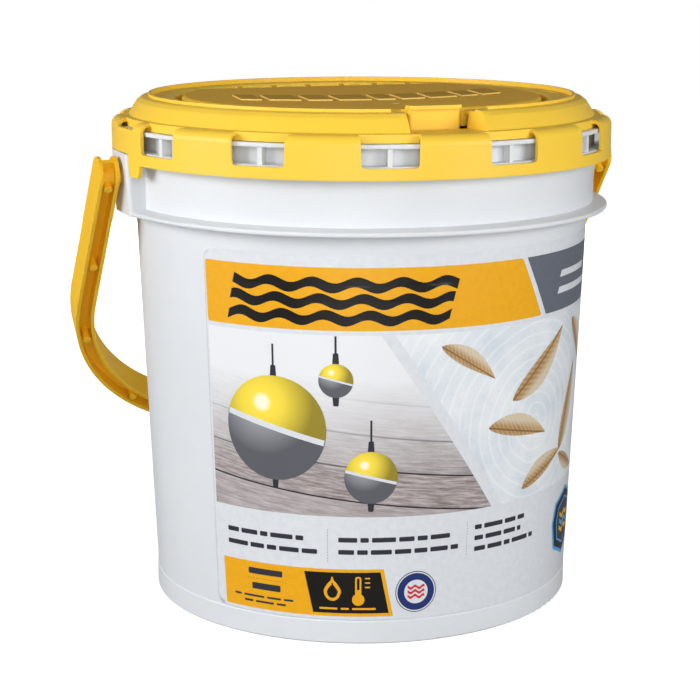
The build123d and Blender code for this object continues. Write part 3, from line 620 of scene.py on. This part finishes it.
six_layers = [("rim", 1.0, blue_ink), ("field", 0.90, black_ink), ("ring", 0.70, blue_ink),
              ("middle", 0.64, text_ink)]
for layer, (part, scale, ink) in enumerate(six_layers, 1):
    printed(f"six_sided_{part}", [six_sided(scale)], layer, ink)
mark_left, mark_right = SIX_SIDED[0] - degrees_across(9.0), SIX_SIDED[0] + degrees_across(9.0)
printed("six_sided_waves", [wave_bar(mark_left, mark_right, SIX_SIDED[1] + rise, 2.2, 1.0, 9.0)
                            for rise in (-3.6, 3.6)], 5, orange_ink)
printed("six_sided_wave_middle", [wave_bar(mark_left, mark_right, SIX_SIDED[1], 2.2, 1.0, 9.0)], 5, blue_ink)

# Raised pattern on the hatch: a row of plain slanted blocks in a shallow arc, and a small moulding mark
HATCH_TOP = 249.3
BLOCK_RISE = 0.65
BLOCK_SINK = 0.15
BLOCK_FRONT, BLOCK_BACK = -38.0, -11.0
BLOCK_ARC = 0.0045
BLOCK_SLANT = 3.5
BLOCK_GAP = 3.2
BLOCK_WIDTHS = (9.0, 14.0, 11.0, 15.5, 9.0, 12.5, 15.5, 10.0, 13.0)


def raised(name, outlines, rise, top_material, side_material):
    """Flat-topped blocks on the hatch, from outlines in millimetres seen from above."""
    mesh = bpy.data.meshes.new(name)
    bm = bmesh.new()
    for outline in outlines:
        low = [bm.verts.new((x * MM, y * MM, (HATCH_TOP - BLOCK_SINK) * MM)) for x, y in outline]
        high = [bm.verts.new((x * MM, y * MM, (HATCH_TOP + rise) * MM)) for x, y in outline]
        bm.faces.new(high)
        bm.faces.new(low[::-1])
        for index in range(len(outline)):
            after = (index + 1) % len(outline)
            side = bm.faces.new((low[index], low[after], high[after], high[index]))
            side.material_index = 1
    bmesh.ops.recalc_face_normals(bm, faces=bm.faces[:])
    bm.to_mesh(mesh)
    bm.free()
    mesh.materials.append(top_material)
    mesh.materials.append(side_material)
    piece = bpy.data.objects.new(name, mesh)
    scene.collection.objects.link(piece)
    edge = piece.modifiers.new("edges", "BEVEL")
    edge.width = 0.18 * MM
    edge.segments = 2
    edge.material = 1
    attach(piece, "hatch")


def slanted_block(left, width):
    right = left + width
    front_left, front_right = BLOCK_FRONT + BLOCK_ARC * left ** 2, BLOCK_FRONT + BLOCK_ARC * right ** 2
    depth = BLOCK_BACK - BLOCK_FRONT
    return [(left, front_left), (right, front_right), (right + BLOCK_SLANT, front_right + depth),
            (left + BLOCK_SLANT, front_left + depth)]


row_width = sum(BLOCK_WIDTHS) + BLOCK_GAP * (len(BLOCK_WIDTHS) - 1)
blocks, left = [], -row_width / 2
for width in BLOCK_WIDTHS:
    blocks.append(slanted_block(left, width))
    left += width + BLOCK_GAP
# The block tops are painted darker, which is painted shade, and their sides take the paler edge colour, which
# is painted highlight
block_top_painted_shade = moulded_plastic("hatch_blocks_painted_shade", shade(HATCH_TOP_PAINTED_SHADE, 0.64), 0.6, 2600.0, 0.45)
raised("hatch_pattern", blocks, BLOCK_RISE, block_top_painted_shade, yellow_lid_edge)
MARK_PLACE, MARK_RADIUS, MARK_RISE = (-3.9, -57.8), 1.7, 0.2
steps = [FULL_TURN * i / 24 for i in range(24)]
mark = [(MARK_PLACE[0] + MARK_RADIUS * cos(t), MARK_PLACE[1] + MARK_RADIUS * sin(t)) for t in steps]
raised("moulding_mark", [mark], MARK_RISE, yellow_lid_edge, yellow_lid_edge)

# Floor: paper that is as good as white, and is seen but lights nothing
FLOOR_SIZE = 12.0
floor_mesh = bpy.data.meshes.new("floor")
floor_corners = [(x * FLOOR_SIZE, y * FLOOR_SIZE, 0) for x, y in ((-1, -1), (1, -1), (1, 1), (-1, 1))]
floor_mesh.from_pydata(floor_corners, [], [(0, 1, 2, 3)])
floor = bpy.data.objects.new("floor", floor_mesh)
scene.collection.objects.link(floor)
floor.visible_diffuse = False
floor.visible_glossy = False

# A backdrop of the same paper all round, far off
WALL_SIDES, WALL_HEIGHT = 24, 9.0
turns = [FULL_TURN * i / WALL_SIDES for i in range(WALL_SIDES)]
wall_points = [(FLOOR_SIZE * cos(t), FLOOR_SIZE * sin(t), z) for z in (0.0, WALL_HEIGHT) for t in turns]
after = [(i + 1) % WALL_SIDES for i in range(WALL_SIDES)]
wall_faces = [(i, after[i], WALL_SIDES + after[i], WALL_SIDES + i) for i in range(WALL_SIDES)]
wall_mesh = bpy.data.meshes.new("backdrop")
wall_mesh.from_pydata(wall_points, [], wall_faces)
backdrop = bpy.data.objects.new("backdrop", wall_mesh)
scene.collection.objects.link(backdrop)
backdrop.visible_diffuse = False
backdrop.visible_glossy = False
backdrop.visible_shadow = False

paper = shader("floor_paper")
finish_material(paper, {"Base Color": (0.45, 0.45, 0.45, 1.0), "Roughness": 1.0, "Specular IOR Level": 0.0,
                        "Emission Color": (1.0, 1.0, 1.0, 1.0), "Emission Strength": 0.92})
floor_mesh.materials.append(paper)
wall_mesh.materials.append(paper)

# Light: a dim even room, weak softboxes near the camera, strong ones at both sides and a low one behind
world = bpy.data.worlds.new("studio")
scene.world = world
world.use_nodes = True
world.node_tree.nodes["Background"].inputs["Color"].default_value = (1.0, 1.0, 1.0, 1.0)
world.node_tree.nodes["Background"].inputs["Strength"].default_value = 0.17
LIGHT_TARGET = (0.0, 0.0, 0.13)


def softbox(name, angle, distance, height, size, power):
    """An area light: its angle is counted from the latch, as the label's are. It gives back the lamp."""
    data = bpy.data.lights.new(name, "AREA")
    data.shape = "RECTANGLE"
    data.size, data.size_y = size
    data.energy = power
    lamp = bpy.data.objects.new(name, data)
    place = Vector((distance * sin(radians(angle)), -distance * cos(radians(angle)), height))
    lamp.location = place
    lamp.rotation_euler = (Vector(LIGHT_TARGET) - place).to_track_quat("-Z", "Y").to_euler()
    scene.collection.objects.link(lamp)
    return lamp


softbox("key", -18.0, 1.05, 0.44, (0.6, 0.5), 2.9)
softbox("bounce", -24.0, 1.10, 0.10, (0.9, 0.16), 1.8)
softbox("left", -88.0, 1.30, 0.50, (0.8, 0.6), 13.6)
softbox("right", 32.0, 1.40, 0.48, (0.7, 0.6), 10.6)
back_box = softbox("back", 160.0, 1.30, 0.16, (0.9, 0.24), 8.0)
back_box.visible_glossy = False

scene.view_settings.view_transform = "Standard"
scene.view_settings.look = "None"
